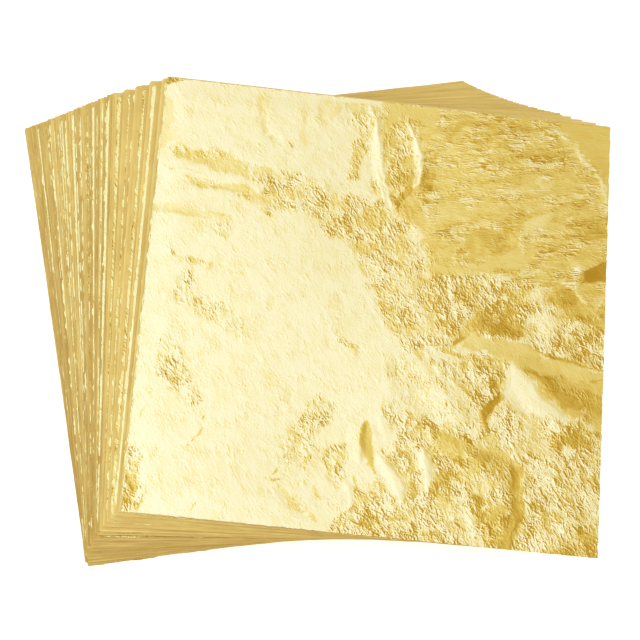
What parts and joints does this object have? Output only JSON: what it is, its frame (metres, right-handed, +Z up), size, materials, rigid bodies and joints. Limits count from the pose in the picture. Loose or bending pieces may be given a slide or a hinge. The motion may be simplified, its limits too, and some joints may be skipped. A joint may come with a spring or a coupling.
{
  "type": "fanned pack of metal leaf",
  "caption": "Loose pack of square gold-coloured metal leaves with tissue sheets between, fanned on a flat surface; sheets turn on each other and the top leaf lifts off.",
  "frame": {"origin": "middle of the lowest tissue sheet's underside, on the surface that the pack lies on", "axes": "+Z up through the pack; the lowest sheet lies square to X and Y, with its front edge towards -Y, and the pack fans clockwise seen from above"},
  "size_m": [0.1819, 0.1707, 0.0134],
  "materials": {
    "tissue": "matte",
    "gold_leaf": "satin"
  },
  "bodies": {
    "root": {"tissue_bundle_01": "tissue", "gold_bundle_01": "gold_leaf"},
    "bundle_02": {"tissue_bundle_02": "tissue", "gold_bundle_02": "gold_leaf"},
    "bundle_03": {"tissue_bundle_03": "tissue", "gold_bundle_03": "gold_leaf"},
    "bundle_04": {"tissue_bundle_04": "tissue", "gold_bundle_04": "gold_leaf"},
    "bundle_05": {"tissue_bundle_05": "tissue", "gold_bundle_05": "gold_leaf"},
    "bundle_06": {"tissue_bundle_06": "tissue", "gold_bundle_06": "gold_leaf"},
    "bundle_07": {"tissue_bundle_07": "tissue", "gold_bundle_07": "gold_leaf"},
    "bundle_08": {"tissue_bundle_08": "tissue", "gold_bundle_08": "gold_leaf"},
    "bundle_09": {"tissue_bundle_09": "tissue", "gold_bundle_09": "gold_leaf"},
    "bundle_10": {"tissue_bundle_10": "tissue", "gold_bundle_10": "gold_leaf"},
    "bundle_11": {"tissue_bundle_11": "tissue", "gold_bundle_11": "gold_leaf"},
    "bundle_12": {"tissue_bundle_12": "tissue", "gold_bundle_12": "gold_leaf"},
    "bundle_13": {"tissue_bundle_13": "tissue", "gold_bundle_13": "gold_leaf"},
    "bundle_14": {"tissue_bundle_14": "tissue", "gold_bundle_14": "gold_leaf"},
    "bundle_15": {"tissue_bundle_15": "tissue", "gold_bundle_15": "gold_leaf"},
    "bundle_16": {"tissue_bundle_16": "tissue", "gold_bundle_16": "gold_leaf"},
    "bundle_17": {"tissue_bundle_17": "tissue", "gold_bundle_17": "gold_leaf"},
    "bundle_18": {"tissue_bundle_18": "tissue", "gold_bundle_18": "gold_leaf"},
    "pair_091": {"tissue_091": "tissue", "gold_leaf_091": "gold_leaf"},
    "pair_092": {"tissue_092": "tissue", "gold_leaf_092": "gold_leaf"},
    "pair_093": {"tissue_093": "tissue", "gold_leaf_093": "gold_leaf"},
    "pair_094": {"tissue_094": "tissue", "gold_leaf_094": "gold_leaf"},
    "pair_095": {"tissue_095": "tissue", "gold_leaf_095": "gold_leaf"},
    "pair_096": {"tissue_096": "tissue", "gold_leaf_096": "gold_leaf"},
    "pair_097": {"tissue_097": "tissue", "gold_leaf_097": "gold_leaf"},
    "pair_098": {"tissue_098": "tissue", "gold_leaf_098": "gold_leaf"},
    "pair_099": {"tissue_099": "tissue", "gold_leaf_099": "gold_leaf"},
    "top_tissue": {"tissue_100": "tissue"},
    "top_leaf": {"gold_leaf_100": "gold_leaf"}
  },
  "joints": [
    {"name": "turn_bundle_02", "type": "hinge", "parent": "root", "child": "bundle_02", "pos_m": [-0.0634, -0.05509, 0], "axis": [0, 0, 1], "range_deg": [0, 0.7875]},
    {"name": "turn_bundle_03", "type": "hinge", "parent": "root", "child": "bundle_03", "pos_m": [-0.06154, -0.05729, 0], "axis": [0, 0, 1], "range_deg": [0, 1.35]},
    {"name": "turn_bundle_04", "type": "hinge", "parent": "root", "child": "bundle_04", "pos_m": [-0.05968, -0.05949, 0], "axis": [0, 0, 1], "range_deg": [0, 1.91]},
    {"name": "turn_bundle_05", "type": "hinge", "parent": "root", "child": "bundle_05", "pos_m": [-0.05782, -0.0617, 0], "axis": [0, 0, 1], "range_deg": [0, 2.47]},
    {"name": "turn_bundle_06", "type": "hinge", "parent": "root", "child": "bundle_06", "pos_m": [-0.05596, -0.0639, 0], "axis": [0, 0, 1], "range_deg": [0, 3.03]},
    {"name": "turn_bundle_07", "type": "hinge", "parent": "root", "child": "bundle_07", "pos_m": [-0.0541, -0.0661, 0], "axis": [0, 0, 1], "range_deg": [0, 3.6]},
    {"name": "turn_bundle_08", "type": "hinge", "parent": "root", "child": "bundle_08", "pos_m": [-0.05224, -0.06831, 0], "axis": [0, 0, 1], "range_deg": [0, 4.16]},
    {"name": "turn_bundle_09", "type": "hinge", "parent": "root", "child": "bundle_09", "pos_m": [-0.05038, -0.07051, 0], "axis": [0, 0, 1], "range_deg": [0, 4.72]},
    {"name": "turn_bundle_10", "type": "hinge", "parent": "root", "child": "bundle_10", "pos_m": [-0.04852, -0.07272, 0], "axis": [0, 0, 1], "range_deg": [0, 5.28]},
    {"name": "turn_bundle_11", "type": "hinge", "parent": "root", "child": "bundle_11", "pos_m": [-0.04666, -0.07492, 0], "axis": [0, 0, 1], "range_deg": [0, 5.84]},
    {"name": "turn_bundle_12", "type": "hinge", "parent": "root", "child": "bundle_12", "pos_m": [-0.0448, -0.07712, 0], "axis": [0, 0, 1], "range_deg": [0, 6.41]},
    {"name": "turn_bundle_13", "type": "hinge", "parent": "root", "child": "bundle_13", "pos_m": [-0.04294, -0.07933, 0], "axis": [0, 0, 1], "range_deg": [0, 6.97]},
    {"name": "turn_bundle_14", "type": "hinge", "parent": "root", "child": "bundle_14", "pos_m": [-0.04108, -0.08153, 0], "axis": [0, 0, 1], "range_deg": [0, 7.53]},
    {"name": "turn_bundle_15", "type": "hinge", "parent": "root", "child": "bundle_15", "pos_m": [-0.03922, -0.08373, 0], "axis": [0, 0, 1], "range_deg": [0, 8.09]},
    {"name": "turn_bundle_16", "type": "hinge", "parent": "root", "child": "bundle_16", "pos_m": [-0.03736, -0.08594, 0], "axis": [0, 0, 1], "range_deg": [0, 8.65]},
    {"name": "turn_bundle_17", "type": "hinge", "parent": "root", "child": "bundle_17", "pos_m": [-0.03551, -0.08814, 0], "axis": [0, 0, 1], "range_deg": [0, 9.21]},
    {"name": "turn_bundle_18", "type": "hinge", "parent": "root", "child": "bundle_18", "pos_m": [-0.03365, -0.09034, 0], "axis": [0, 0, 1], "range_deg": [0, 9.78]},
    {"name": "turn_pair_091", "type": "hinge", "parent": "root", "child": "pair_091", "pos_m": [-0.03151, -0.09287, 0], "axis": [0, 0, 1], "range_deg": [0, 10.42]},
    {"name": "turn_pair_092", "type": "hinge", "parent": "root", "child": "pair_092", "pos_m": [-0.03012, -0.09452, 0], "axis": [0, 0, 1], "range_deg": [0, 10.84]},
    {"name": "turn_pair_093", "type": "hinge", "parent": "root", "child": "pair_093", "pos_m": [-0.02873, -0.09617, 0], "axis": [0, 0, 1], "range_deg": [0, 11.26]},
    {"name": "turn_pair_094", "type": "hinge", "parent": "root", "child": "pair_094", "pos_m": [-0.02734, -0.09781, 0], "axis": [0, 0, 1], "range_deg": [0, 11.68]},
    {"name": "turn_pair_095", "type": "hinge", "parent": "root", "child": "pair_095", "pos_m": [-0.02595, -0.09946, 0], "axis": [0, 0, 1], "range_deg": [0, 12.1]},
    {"name": "turn_pair_096", "type": "hinge", "parent": "root", "child": "pair_096", "pos_m": [-0.02456, -0.10111, 0], "axis": [0, 0, 1], "range_deg": [0, 12.52]},
    {"name": "turn_pair_097", "type": "hinge", "parent": "root", "child": "pair_097", "pos_m": [-0.02317, -0.10276, 0], "axis": [0, 0, 1], "range_deg": [0, 12.94]},
    {"name": "turn_pair_098", "type": "hinge", "parent": "root", "child": "pair_098", "pos_m": [-0.02178, -0.1044, 0], "axis": [0, 0, 1], "range_deg": [0, 13.36]},
    {"name": "turn_pair_099", "type": "hinge", "parent": "root", "child": "pair_099", "pos_m": [-0.02039, -0.10605, 0], "axis": [0, 0, 1], "range_deg": [0, 13.78]},
    {"name": "fan", "type": "hinge", "parent": "root", "child": "top_tissue", "pos_m": [-0.019, -0.1077, 0], "axis": [0, 0, 1], "range_deg": [0, 14.2]},
    {"name": "lift_top_leaf", "type": "slide", "parent": "top_tissue", "child": "top_leaf", "axis": [0, 0, 1], "range_m": [0, 0.06]}
  ],
  "couplings": [
    {"joint": "turn_bundle_02", "follows": "fan", "ratio": 0.055387},
    {"joint": "turn_bundle_03", "follows": "fan", "ratio": 0.094951},
    {"joint": "turn_bundle_04", "follows": "fan", "ratio": 0.13451},
    {"joint": "turn_bundle_05", "follows": "fan", "ratio": 0.17408},
    {"joint": "turn_bundle_06", "follows": "fan", "ratio": 0.21364},
    {"joint": "turn_bundle_07", "follows": "fan", "ratio": 0.2532},
    {"joint": "turn_bundle_08", "follows": "fan", "ratio": 0.29277},
    {"joint": "turn_bundle_09", "follows": "fan", "ratio": 0.33233},
    {"joint": "turn_bundle_10", "follows": "fan", "ratio": 0.37189},
    {"joint": "turn_bundle_11", "follows": "fan", "ratio": 0.41146},
    {"joint": "turn_bundle_12", "follows": "fan", "ratio": 0.45102},
    {"joint": "turn_bundle_13", "follows": "fan", "ratio": 0.49058},
    {"joint": "turn_bundle_14", "follows": "fan", "ratio": 0.53015},
    {"joint": "turn_bundle_15", "follows": "fan", "ratio": 0.56971},
    {"joint": "turn_bundle_16", "follows": "fan", "ratio": 0.60928},
    {"joint": "turn_bundle_17", "follows": "fan", "ratio": 0.64884},
    {"joint": "turn_bundle_18", "follows": "fan", "ratio": 0.6884},
    {"joint": "turn_pair_091", "follows": "fan", "ratio": 0.7338},
    {"joint": "turn_pair_092", "follows": "fan", "ratio": 0.76338},
    {"joint": "turn_pair_093", "follows": "fan", "ratio": 0.79296},
    {"joint": "turn_pair_094", "follows": "fan", "ratio": 0.82254},
    {"joint": "turn_pair_095", "follows": "fan", "ratio": 0.85211},
    {"joint": "turn_pair_096", "follows": "fan", "ratio": 0.88169},
    {"joint": "turn_pair_097", "follows": "fan", "ratio": 0.91127},
    {"joint": "turn_pair_098", "follows": "fan", "ratio": 0.94085},
    {"joint": "turn_pair_099", "follows": "fan", "ratio": 0.97042}
  ]
}
